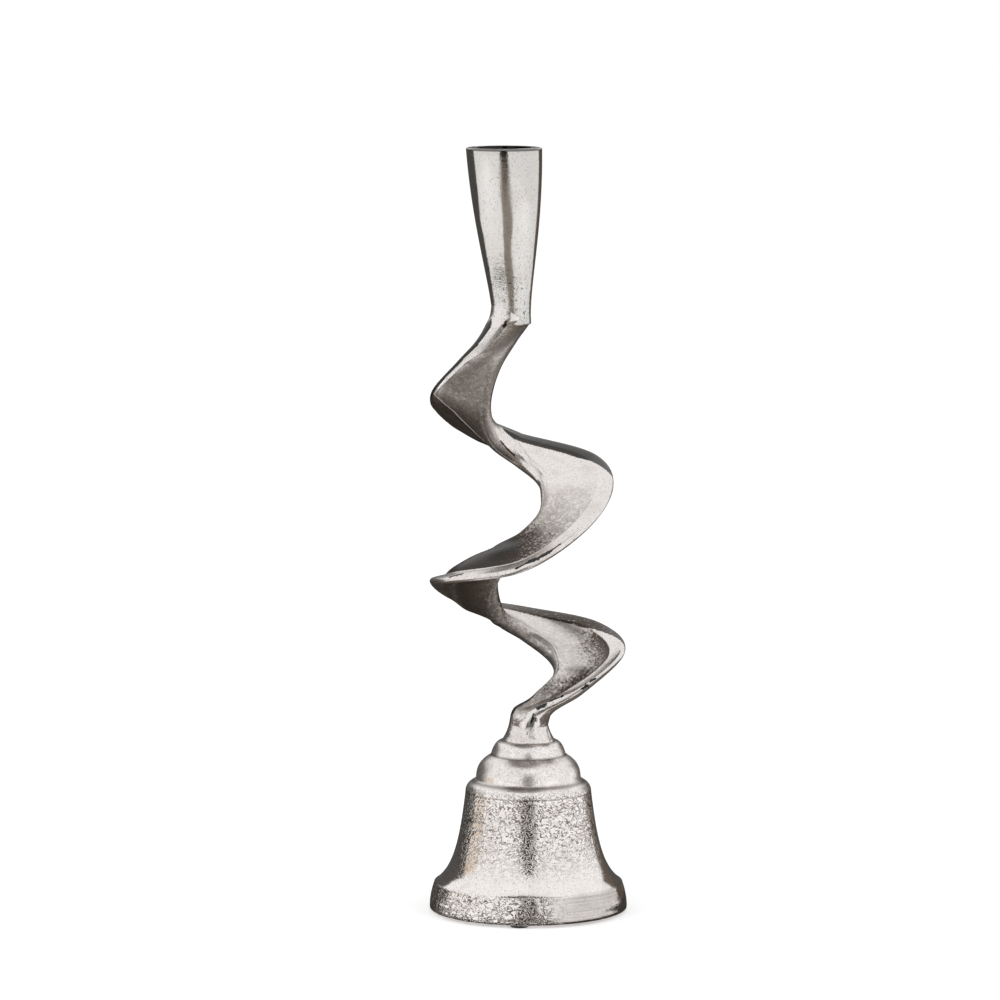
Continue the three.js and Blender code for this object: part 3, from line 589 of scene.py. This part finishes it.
# The ring runs from the crease over the land to the lip, back underneath, and up over the hollow
def ring_finish(station, width, ring, points):
    inward = width / 2 - ring[:, 0]
    land = slice(0, (RIM_POINT - CREASE_POINT) * STEPS_PER_CORNER)
    hollow = slice(len(ring) - CREASE_POINT * STEPS_PER_CORNER, len(ring))
    below = slice(land.stop, hollow.start)
    # Painted shade: the land is darkened along the turns where it faces away at the back.
    land_shade = np.clip((LAND_WIDTH * finish_at("land_shade", station) - inward) / PAINT_EDGE, 0, 1)
    land_shade *= finish_at("land_shade_share", station)
    # Painted shade in the hollow: over the scooped face, and in a patch reaching in from the land.
    patch = np.clip(1 - (inward[hollow] - LAND_WIDTH) / PATCH_REACH, 0, 1)
    hollow_shade = finish_at("dark_face", station) + finish_at("patch_shade", station) * patch
    painted_shade = np.zeros(len(ring))
    painted_shade[land] = land_shade[land]
    painted_shade[hollow] = np.maximum(hollow_shade, land_shade[hollow])
    polish = np.clip(ring[:, 2], 0, 1)
    polish[hollow] *= finish_at("face_polish", station)
    # Painted shade below the fold line: there the underside is drawn dull and dark, with a painted
    # highlight along the line.
    fold = np.full(len(ring), NO_FOLD)
    under_shade = finish_at("under_shade", station)
    if under_shade > 0:
        fold = inward - under_shade
        polish[below] = np.where(fold[below] < 0, 0, polish[below])
    # Painted light just under the cup: polished and bright above a sloping line, as a lit bevel, and dull
    # and dark below it as painted shade.
    if station < CREASE_STATIONS:
        shaded_below_crease = points[:, 2] < CREASE_HEIGHT + CREASE_SLOPE * points[:, 0]
        polish = np.where(shaded_below_crease, np.minimum(polish, CREASE_SHADE_POLISH), 1)
        painted_shade = np.where(shaded_below_crease, painted_shade, 0)
    # Painted shade: dark outlines along the edge of the rim and the edge of the core.
    painted_shade = np.where(inward < finish_at("rim_shade", station), 1, painted_shade)
    painted_shade = np.where(width - inward < finish_at("core_shade", station), 1, painted_shade)
    return {"polish": polish, "painted_shade": painted_shade, "fold": fold}


rim_edge, core_edge = ribbon_edge(RIM_REACH, RIM_LEVEL), ribbon_edge(CORE_REACH, CORE_LEVEL)
hollows = smooth_through(stations[:, SCOOP:], STEPS_PER_STATION)
middle_line = (rim_edge + core_edge) / 2
along_line = np.gradient(middle_line, axis=0)
along_line[0] = (math.sin(math.radians(CUP_LEAN)), 0, -math.cos(math.radians(CUP_LEAN)))
along_line[-1] = (0, 0, -1)
stem_points = []
stem_finish = {name: [] for name in FOOT_FINISH}
for k, across in enumerate(rim_edge - core_edge):
    station = k / STEPS_PER_STATION - 1
    width = np.linalg.norm(across)
    across = across / width
    up = np.cross(along_line[k], across)
    up /= np.linalg.norm(up)
    ring = ribbon_ring(station, width, *hollows[k])
    points = middle_line[k] + across * ring[:, :1] + up * ring[:, 1:2]
    stem_points.extend(points)
    for name, values in ring_finish(station, width, ring, points).items():
        stem_finish[name].extend(values)
ring_size = len(ring)

foot_outline = [(NECK_RADIUS, NECK_TOP - NECK_OVERLAP)]
bend(foot_outline, *FOOT_BEND)
last_ring = np.array(stem_points[-ring_size:]) - middle_line[-1]
for radius, height in foot_outline[1:]:
    spread = last_ring * radius / NECK_RADIUS
    stem_points.extend(spread + np.array([middle_line[-1][0], middle_line[-1][1], height]))
    for name, value in FOOT_FINISH.items():
        stem_finish[name].extend([value] * ring_size)

stem_faces = []
for ring_start in range(0, len(stem_points) - ring_size, ring_size):
    for i in range(ring_size):
        a, b = ring_start + i, ring_start + (i + 1) % ring_size
        stem_faces.append((a, a + ring_size, b + ring_size, b))
stem_faces.append(tuple(range(ring_size)))
stem_faces.append(tuple(range(len(stem_points) - 1, len(stem_points) - ring_size - 1, -1)))
stem_mesh = bpy.data.meshes.new("twisted_ribbon")
stem_mesh.from_pydata([tuple(p * MM) for p in stem_points], [], stem_faces)
stem_mesh.polygons.foreach_set("use_smooth", [True] * (len(stem_faces) - 2) + [False, False])
for name, values in stem_finish.items():
    stem_mesh.attributes.new(name, "FLOAT", "POINT").data.foreach_set("value", np.array(values, "f"))
stem = bpy.data.objects.new("twisted_ribbon", stem_mesh)
bpy.context.collection.objects.link(stem)


def slit_tree():
    tree, given, made = node_group(
        "casting_slit", "ShaderNodeTree",
        {"Place": "Vector", "From": "Vector", "To": "Vector", "Half Width": "Float"}, {"Slit": "Float"})

    def vector(operation, first, second):
        return add_node(tree, "ShaderNodeVectorMath", {0: first, 1: second}, operation=operation)

    run = vector("SUBTRACT", given["To"], given["From"]).outputs[0]
    reach = vector("SUBTRACT", given["Place"], given["From"]).outputs[0]
    share = math_of(tree, "DIVIDE", vector("DOT_PRODUCT", reach, run).outputs["Value"],
                    vector("DOT_PRODUCT", run, run).outputs["Value"])
    held = add_node(tree, "ShaderNodeClamp", {"Value": share}).outputs[0]
    nearest = add_node(tree, "ShaderNodeVectorMath", {0: run, "Scale": held}, operation="SCALE").outputs[0]
    gap = add_node(tree, "ShaderNodeVectorMath", {0: vector("SUBTRACT", reach, nearest).outputs[0]},
                   operation="LENGTH").outputs["Value"]
    ragged = ramp(tree, noise(tree, given["Place"], RAGGED_SCALE, 3.0), 0.3, 0.7, 0.45, 1.6)
    inside = math_of(tree, "LESS_THAN", math_of(tree, "MULTIPLY", gap, ragged), given["Half Width"])
    tree.links.new(inside, made["Slit"])
    return tree


stem_metal, stem_nodes, stem_surface = shader("polished_casting")
stem_place = object_place(stem_nodes)
polish_value, painted_shade_value, fold_value = [
    add_node(stem_nodes, "ShaderNodeAttribute", attribute_name=name).outputs["Fac"]
    for name in ("polish", "painted_shade", "fold")]
stem_cast, stem_bump = cast_metal(
    stem_nodes, stem_surface, STEM_BUMP, Place=stem_place, Metal=STEM_METAL, Polish=polish_value,
    Gloss=STEM_GLOSS, Grain=ramp(stem_nodes, polish_value, 0.2, 1.0, DULL_GRAIN, POLISHED_GRAIN),
    Grain_Scale=STEM_GRAIN_SCALE)
neck_lumps = math_of(
    stem_nodes, "MULTIPLY", noise(stem_nodes, stem_place, NECK_LUMP_SCALE, 1.5, 0.8),
    fade(stem_nodes, axes_of(stem_nodes, stem_place)["Z"], *NECK_LUMP_FADE, NECK_LUMP_DEPTH, 0.0))
stem_nodes.links.new(
    math_of(stem_nodes, "ADD", stem_cast.outputs["Height"], neck_lumps), stem_bump.inputs["Height"])
slit_group = slit_tree()
# Painted shade: narrow black lines along cracks in the casting.
slit_shade = 0.0
for start, end, half_width in STEM_SLITS:
    slit = add_node(stem_nodes, "ShaderNodeGroup", {
        "Place": stem_place, "From": [value * MM for value in start], "To": [value * MM for value in end],
        "Half Width": half_width * MM}, node_tree=slit_group)
    slit_shade = math_of(stem_nodes, "MAXIMUM", slit_shade, slit.outputs[0])
# Painted shade: where the shade attribute is set, the stem's colour goes grainily to brown and black.
shade_top = math_of(stem_nodes, "MULTIPLY", painted_shade_value, SHADE_REACH)
clear_of_shade = ramp(
    stem_nodes, noise(stem_nodes, stem_place, SHADE_GRAIN_SCALE, 2.0),
    math_of(stem_nodes, "SUBTRACT", shade_top, SHADE_SOFTNESS), shade_top, 1.0, 0.0)
painted_shade_colour = mixed(
    stem_nodes, ramp(stem_nodes, painted_shade_value, 0.6, 0.9, 0.0, 1.0), PAINTED_SHADE_BROWN, PAINTED_SHADE_BLACK)
# Painted highlight: a thin white line, not metal, along the edge of the painted shade below the fold.
painted_edge_highlight = ramp(
    stem_nodes, math_of(stem_nodes, "ABSOLUTE", fold_value), HIGHLIGHT_CORE, HIGHLIGHT_REACH,
    HIGHLIGHT_SHARE, 0.0)
with_edge_highlight = mixed(stem_nodes, painted_edge_highlight, stem_cast.outputs["Colour"], EDGE_HIGHLIGHT_WHITE)
with_painted_shade = mixed(stem_nodes, clear_of_shade, with_edge_highlight, painted_shade_colour)
stem_nodes.links.new(mixed(stem_nodes, slit_shade, with_painted_shade, SLIT_SHADE_BLACK), stem_surface.inputs["Base Color"])
# The painted black slit lines and the painted white highlight line are drawn without metal.
painted_lines = math_of(stem_nodes, "MAXIMUM", slit_shade, painted_edge_highlight)
stem_nodes.links.new(ramp(stem_nodes, painted_lines, 0.0, 1.0, 1.0, 0.0), stem_surface.inputs["Metallic"])
stem_mesh.materials.append(stem_metal)
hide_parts("twisted_stem")
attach(stem, "root")

# Candle cup: a flared casting in the same metal, turned and polished, set on the top of the stem.
# Its tapered bore takes the foot of one dinner candle.
CUP_HEIGHT, CUP_TOP_RADIUS, LIP_ROUND, CUP_SKIRT, CUP_FOOT_EDGE = 66.6, 15.0, 1.0, 3.0, 0.3
BORE_RADIUS, BORE_FLOOR_RADIUS, BORE_FLOOR, BORE_EDGE = 11.3, 10.5, 40.6, 0.2
CUP_SIDES = 192
CUP_SIDE_BEND = (CUP_TOP_RADIUS, CUP_HEIGHT - LIP_ROUND, [(0.05, 0.203), (0.85, 0.528)], 60)
CUP_LIP_BEND = (CUP_TOP_RADIUS - LIP_ROUND, CUP_HEIGHT, [(0, 1)], 8)
CUP_METAL, CUP_SHADE_AND_PIT = (0.63, 0.615, 0.595, 1), (0.03, 0.028, 0.026, 1)
CUP_GRAIN_SCALE, CUP_BUMP, CUP_GLOSS = 900.0, 0.15, 0.12
CUP_GRAIN_HEIGHT, CUP_ROOT_GRAIN, CUP_TOP_GRAIN = 30, 0.18, 0.04
TURNING_STRETCH, TURNING_DEPTH = (30, 30, 1800), 0.1
WAVE_STRETCH, WAVE_DEPTH = (90, 90, 45), 4.5
# Painted shade inside the bore and on the lip: where it starts and ends, and how dark the lip gets
BORE_SHADE_RADII, BORE_SHADE_HEIGHTS, LIP_SHADE_SPAN, LIP_SHADE = (11.8, 12.6), (39.5, 40.5), (1.1, 0.8), 0.75
PIT_SCALE, PIT_FADE = 900.0, (12, 30)

cup_outline = [(0, -CUP_SKIRT), (CUP_ROOT_RADIUS - CUP_FOOT_EDGE, -CUP_SKIRT)]
cup_outline += [(CUP_ROOT_RADIUS, CUP_FOOT_EDGE - CUP_SKIRT), (CUP_ROOT_RADIUS, 0)]
bend(cup_outline, *CUP_SIDE_BEND)
bend(cup_outline, *CUP_LIP_BEND)
cup_outline += [(BORE_RADIUS + BORE_EDGE, CUP_HEIGHT), (BORE_RADIUS, CUP_HEIGHT - BORE_EDGE)]
cup_outline += [(BORE_FLOOR_RADIUS, BORE_FLOOR + BORE_EDGE), (BORE_FLOOR_RADIUS - BORE_EDGE, BORE_FLOOR)]
cup_outline.append((0, BORE_FLOOR))

cup_metal, cup_nodes, cup_surface = shader("turned_casting", Metallic=1.0)
cup_place = object_place(cup_nodes)
cup_grain = fade(
    cup_nodes, axes_of(cup_nodes, cup_place)["Z"], CUP_BOTTOM, CUP_BOTTOM + CUP_GRAIN_HEIGHT,
    CUP_ROOT_GRAIN, CUP_TOP_GRAIN)
cup_cast, cup_bump = cast_metal(
    cup_nodes, cup_surface, CUP_BUMP, Place=cup_place, Metal=CUP_METAL, Polish=1.0, Gloss=CUP_GLOSS,
    Grain=cup_grain, Grain_Scale=CUP_GRAIN_SCALE)
turning_lines = math_of(
    cup_nodes, "MULTIPLY", noise(cup_nodes, stretched(cup_nodes, cup_place, TURNING_STRETCH), 1.0, 3.0),
    TURNING_DEPTH)
cup_waves = math_of(
    cup_nodes, "MULTIPLY", noise(cup_nodes, stretched(cup_nodes, cup_place, WAVE_STRETCH), 1.0, 1.0),
    WAVE_DEPTH)
waved = math_of(cup_nodes, "ADD", cup_cast.outputs["Height"], cup_waves)
cup_nodes.links.new(math_of(cup_nodes, "ADD", waved, turning_lines), cup_bump.inputs["Height"])

cup_root = [value * MM for value in coil_point(CUP_TURN, CUP_OFFSET, CUP_BOTTOM, CUP_BOTTOM)]
cup_slope = math.tan(math.radians(CUP_LEAN))
in_cup = add_node(cup_nodes, "ShaderNodeMapping", {
    "Vector": cup_place, "Location": cup_root}, vector_type="TEXTURE").outputs[0]
cup_axes = axes_of(cup_nodes, in_cup)
cup_slide = math_of(cup_nodes, "MULTIPLY", cup_axes["Z"], cup_slope)
cup_radius = add_node(cup_nodes, "ShaderNodeVectorMath", {
    0: add_node(cup_nodes, "ShaderNodeCombineXYZ", {
        "X": math_of(cup_nodes, "ADD", cup_axes["X"], cup_slide), "Y": cup_axes["Y"]}).outputs[0]},
    operation="LENGTH").outputs["Value"]
# Painted shade: the inside of the bore and the lip are darkened; the pits low on the cup are marks of the
# casting.
bore = math_of(
    cup_nodes, "MULTIPLY", fade(cup_nodes, cup_radius, *BORE_SHADE_RADII, 1.0, 0.0),
    fade(cup_nodes, cup_axes["Z"], *BORE_SHADE_HEIGHTS, 0.0, 1.0))
lip = fade(cup_nodes, cup_axes["Z"], *[CUP_HEIGHT - down for down in LIP_SHADE_SPAN], 0.0, LIP_SHADE)
pit_marks = ramp(cup_nodes, noise(cup_nodes, cup_place, PIT_SCALE, 2.0), 0.61, 0.68, 0.0, 0.8)
pits = math_of(
    cup_nodes, "MULTIPLY", pit_marks, fade(cup_nodes, cup_axes["Z"], *PIT_FADE, 1.0, 0.0))
shade_and_pits = math_of(cup_nodes, "MAXIMUM", math_of(cup_nodes, "MAXIMUM", bore, lip), pits)
cup_nodes.links.new(
    mixed(cup_nodes, shade_and_pits, cup_cast.outputs["Colour"], CUP_SHADE_AND_PIT), cup_surface.inputs["Base Color"])

cup = outline_object("candle_cup_casting", cup_outline)
grow(cup, turned_piece, Sides=CUP_SIDES, Lean=-cup_slope, Foot=tuple(cup_root), Finish=cup_metal)
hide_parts("candle_cup")
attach(cup, "root")

# Stage: a plain white floor and room, with tinted cards in front, behind, beside and below that only the
# metal sees, as the flags round a studio table do.
EYE_RAYS, ROOM_DIFFUSE_LIGHT = ("Is Camera Ray", "Is Glossy Ray"), 0.75
WHITE, FLOOR_COLOUR, FLOOR_ROUGHNESS = (1, 1, 1, 1), (0.9, 0.9, 0.9, 1), 0.9
FLOOR_HALF, FLOOR_LIFT, CARD_LEVEL, FRONT_REACH = 6, 0.35, 0.0005, -1.0

# Each tier of the front card: its lower and upper edge, half its width at each, and its colour
FRONT_TIERS = [
    (-0.1, 0.04, 0.3, 0.26, (0.34, 0.30, 0.26, 1)), (0.04, 0.075, 0.26, 0.12, (0.28, 0.24, 0.20, 1)),
    (0.075, 0.1, 0.12, 0.14, (0.12, 0.10, 0.08, 1)), (0.1, 0.19, 0.16, 0.28, (0.035, 0.03, 0.025, 1)),
    (0.19, 0.45, 0.19, 0.17, (0.02, 0.017, 0.015, 1)), (0.45, 0.8, 0.14, 0.12, (0.02, 0.017, 0.015, 1))]

# Each strip of the front floor card: its near and far edge, half its width at each, and its colour
FLOOR_STRIPS = [
    (-0.05, -0.25, 0.02, 0.07, (0.05, 0.042, 0.034, 1)), (-0.25, -1.0, 0.06, 0.3, (0.38, 0.335, 0.29, 1))]
LEFT_PLACE, LEFT_SPAN, LEFT_HEIGHTS = -0.12, (0.02, -0.03), (0.034, 0.062)
LEFT_COLOUR = (0.75, 0.63, 0.5, 1)
BACK_REACH, BACK_NEAR, BACK_HEIGHT = 0.8, 0.1, 0.4
BACK_ANGLES, BACK_STEP, BROWN_FROM, WALL_TO = (-70, 62), 6, 30, 48
BACK_SLATE, BACK_BROWN = (0.09, 0.085, 0.08, 1), (0.14, 0.11, 0.085, 1)
FOOT_STEP, FOOT_INNER, FOOT_BACK, FOOT_FRONT, FOOT_FRONT_ANGLES = 10, 0.0395, 0.1, 0.047, (100, 260)
FOOT_COLOUR = (0.07, 0.06, 0.05, 1)
LOW_STEP, LOW_INNER, LOW_FRONT_INNER, LOW_OUTER, LOW_LEVEL = 15, 0.012, 0.12, 0.42, 0.072
LOW_FRONT_ANGLES, LOW_SHADE, LOW_SHADE_SWING, LOW_TINT = (135, 225), 0.13, 0.09, (1, 0.88, 0.76)
LAMP_WIDTH, LAMP_LENGTH, LAMP_POWER = 0.8, 1.4, 4.0
LAMP_SIDE, LAMP_FRONT, LAMP_HEIGHT, LAMP_AIM = 1.2, -0.7, 0.9, Vector((0, 0, 0.15))


def seen_by(tree, *kinds):
    rays = add_node(tree, "ShaderNodeLightPath").outputs
    seen = 0.0
    for kind in kinds:
        seen = math_of(tree, "MAXIMUM", seen, rays[kind])
    return seen


def flat_card(name, corners):
    mesh = bpy.data.meshes.new(name)
    mesh.from_pydata(corners, [], [tuple(range(len(corners)))])
    obj = bpy.data.objects.new(name, mesh)
    bpy.context.collection.objects.link(obj)
    return obj


def tinted_card(name, corners, colour):
    card = flat_card(name, corners)
    paint = bpy.data.materials.new(name)
    paint.use_nodes = True
    paint.node_tree.nodes.clear()
    glow = add_node(paint.node_tree, "ShaderNodeEmission", {"Color": colour})
    clear = add_node(paint.node_tree, "ShaderNodeBsdfTransparent")
    side = add_node(paint.node_tree, "ShaderNodeNewGeometry")
    either = add_node(paint.node_tree, "ShaderNodeMixShader", {
        0: side.outputs["Backfacing"], 1: glow.outputs[0], 2: clear.outputs[0]})
    out = add_node(paint.node_tree, "ShaderNodeOutputMaterial")
    paint.node_tree.links.new(either.outputs[0], out.inputs["Surface"])
    card.data.materials.append(paint)
    card.visible_camera = False
    card.visible_diffuse = False
    card.visible_shadow = False
    card.visible_transmission = False


# Angles on the floor run clockwise from straight behind
def spoke(angle, reach):
    return reach * math.sin(math.radians(angle)), reach * math.cos(math.radians(angle))


def wedge(start, end, inner, outer, level):
    corners = ((start, inner), (end, inner), (end, outer), (start, outer))
    return [(*spoke(angle, reach), level) for angle, reach in corners]


scene = bpy.context.scene
scene.view_settings.view_transform = "Standard"
world = bpy.data.worlds.new("white_room")
world.use_nodes = True
scene.world = world
room = world.node_tree
room_light = room.nodes["Background"]
room_seen = seen_by(room, *EYE_RAYS, "Is Transmission Ray")
room.links.new(ramp(room, room_seen, 0.0, 1.0, ROOM_DIFFUSE_LIGHT, 1.0), room_light.inputs["Strength"])
room_light.inputs["Color"].default_value = WHITE

floor = flat_card("floor", [
    (-FLOOR_HALF, -FLOOR_HALF, 0), (FLOOR_HALF, -FLOOR_HALF, 0), (FLOOR_HALF, FLOOR_HALF, 0),
    (-FLOOR_HALF, FLOOR_HALF, 0)])
floor_paint, floor_nodes, floor_surface = shader(
    "floor_paint", Base_Color=FLOOR_COLOUR, Roughness=FLOOR_ROUGHNESS, Emission_Color=WHITE)
floor_nodes.links.new(
    math_of(floor_nodes, "MULTIPLY", seen_by(floor_nodes, *EYE_RAYS), FLOOR_LIFT),
    floor_surface.inputs["Emission Strength"])
floor.data.materials.append(floor_paint)

for low, high, low_half, high_half, colour in FRONT_TIERS:
    tinted_card("front_card", [
        (-low_half, FRONT_REACH, low), (-high_half, FRONT_REACH, high), (high_half, FRONT_REACH, high),
        (low_half, FRONT_REACH, low)], colour)
for near, far, near_half, far_half, colour in FLOOR_STRIPS:
    tinted_card("front_floor_card", [
        (-near_half, near, CARD_LEVEL), (-far_half, far, CARD_LEVEL), (far_half, far, CARD_LEVEL),
        (near_half, near, CARD_LEVEL)], colour)
left_low, left_high = LEFT_HEIGHTS
tinted_card("left_card", [
    (LEFT_PLACE, LEFT_SPAN[0], left_low), (LEFT_PLACE, LEFT_SPAN[0], left_high),
    (LEFT_PLACE, LEFT_SPAN[1], left_high), (LEFT_PLACE, LEFT_SPAN[1], left_low)], LEFT_COLOUR)
for angle in range(*BACK_ANGLES, BACK_STEP):
    slate = BACK_SLATE if angle < BROWN_FROM else BACK_BROWN
    first, last = spoke(angle, BACK_REACH), spoke(angle + BACK_STEP, BACK_REACH)
    if angle < WALL_TO:
        tinted_card("back_card", [
            (*first, 0.0), (*last, 0.0), (*last, BACK_HEIGHT), (*first, BACK_HEIGHT)], slate)
    tinted_card(
        "back_floor_card", wedge(angle, angle + BACK_STEP, BACK_NEAR, BACK_REACH, CARD_LEVEL), slate)
for angle in range(0, 360, FOOT_STEP):
    outer = FOOT_FRONT if FOOT_FRONT_ANGLES[0] <= angle < FOOT_FRONT_ANGLES[1] else FOOT_BACK
    tinted_card("foot_card", wedge(angle, angle + FOOT_STEP, FOOT_INNER, outer, CARD_LEVEL), FOOT_COLOUR)
for angle in range(0, 360, LOW_STEP):
    inner = LOW_FRONT_INNER if LOW_FRONT_ANGLES[0] <= angle < LOW_FRONT_ANGLES[1] else LOW_INNER
    shade = LOW_SHADE - LOW_SHADE_SWING * math.cos(math.radians(angle + LOW_STEP / 2))
    tinted_card(
        "low_card", wedge(angle, angle + LOW_STEP, inner, LOW_OUTER, LOW_LEVEL),
        (*[shade * tint for tint in LOW_TINT], 1))

for side in (-1, 1):
    lamp_data = bpy.data.lights.new("soft_lamp", "AREA")
    lamp_data.shape = "RECTANGLE"
    lamp_data.size, lamp_data.size_y, lamp_data.energy = LAMP_WIDTH, LAMP_LENGTH, LAMP_POWER
    lamp = bpy.data.objects.new("soft_lamp", lamp_data)
    lamp.location = (side * LAMP_SIDE, LAMP_FRONT, LAMP_HEIGHT)
    lamp.rotation_euler = (LAMP_AIM - lamp.location).to_track_quat("-Z", "Y").to_euler()
    lamp.visible_glossy = False
    bpy.context.collection.objects.link(lamp)

# Camera: two metres in front and a little above the cup, looking slightly down with a long lens, as the
# ellipses of the rim and the mouth in the photograph show it.
CAMERA_PLACE, CAMERA_TILT = (-0.0113, -2.060, 0.410), 83.215
CAMERA_LENS, SENSOR_WIDTH = 188.46, 36.0
camera = bpy.data.objects.new("camera", bpy.data.cameras.new("camera"))
camera.location = CAMERA_PLACE
camera.rotation_euler = (math.radians(CAMERA_TILT), 0, 0)
camera.data.lens = CAMERA_LENS
camera.data.sensor_width = SENSOR_WIDTH
bpy.context.collection.objects.link(camera)
scene.camera = camera
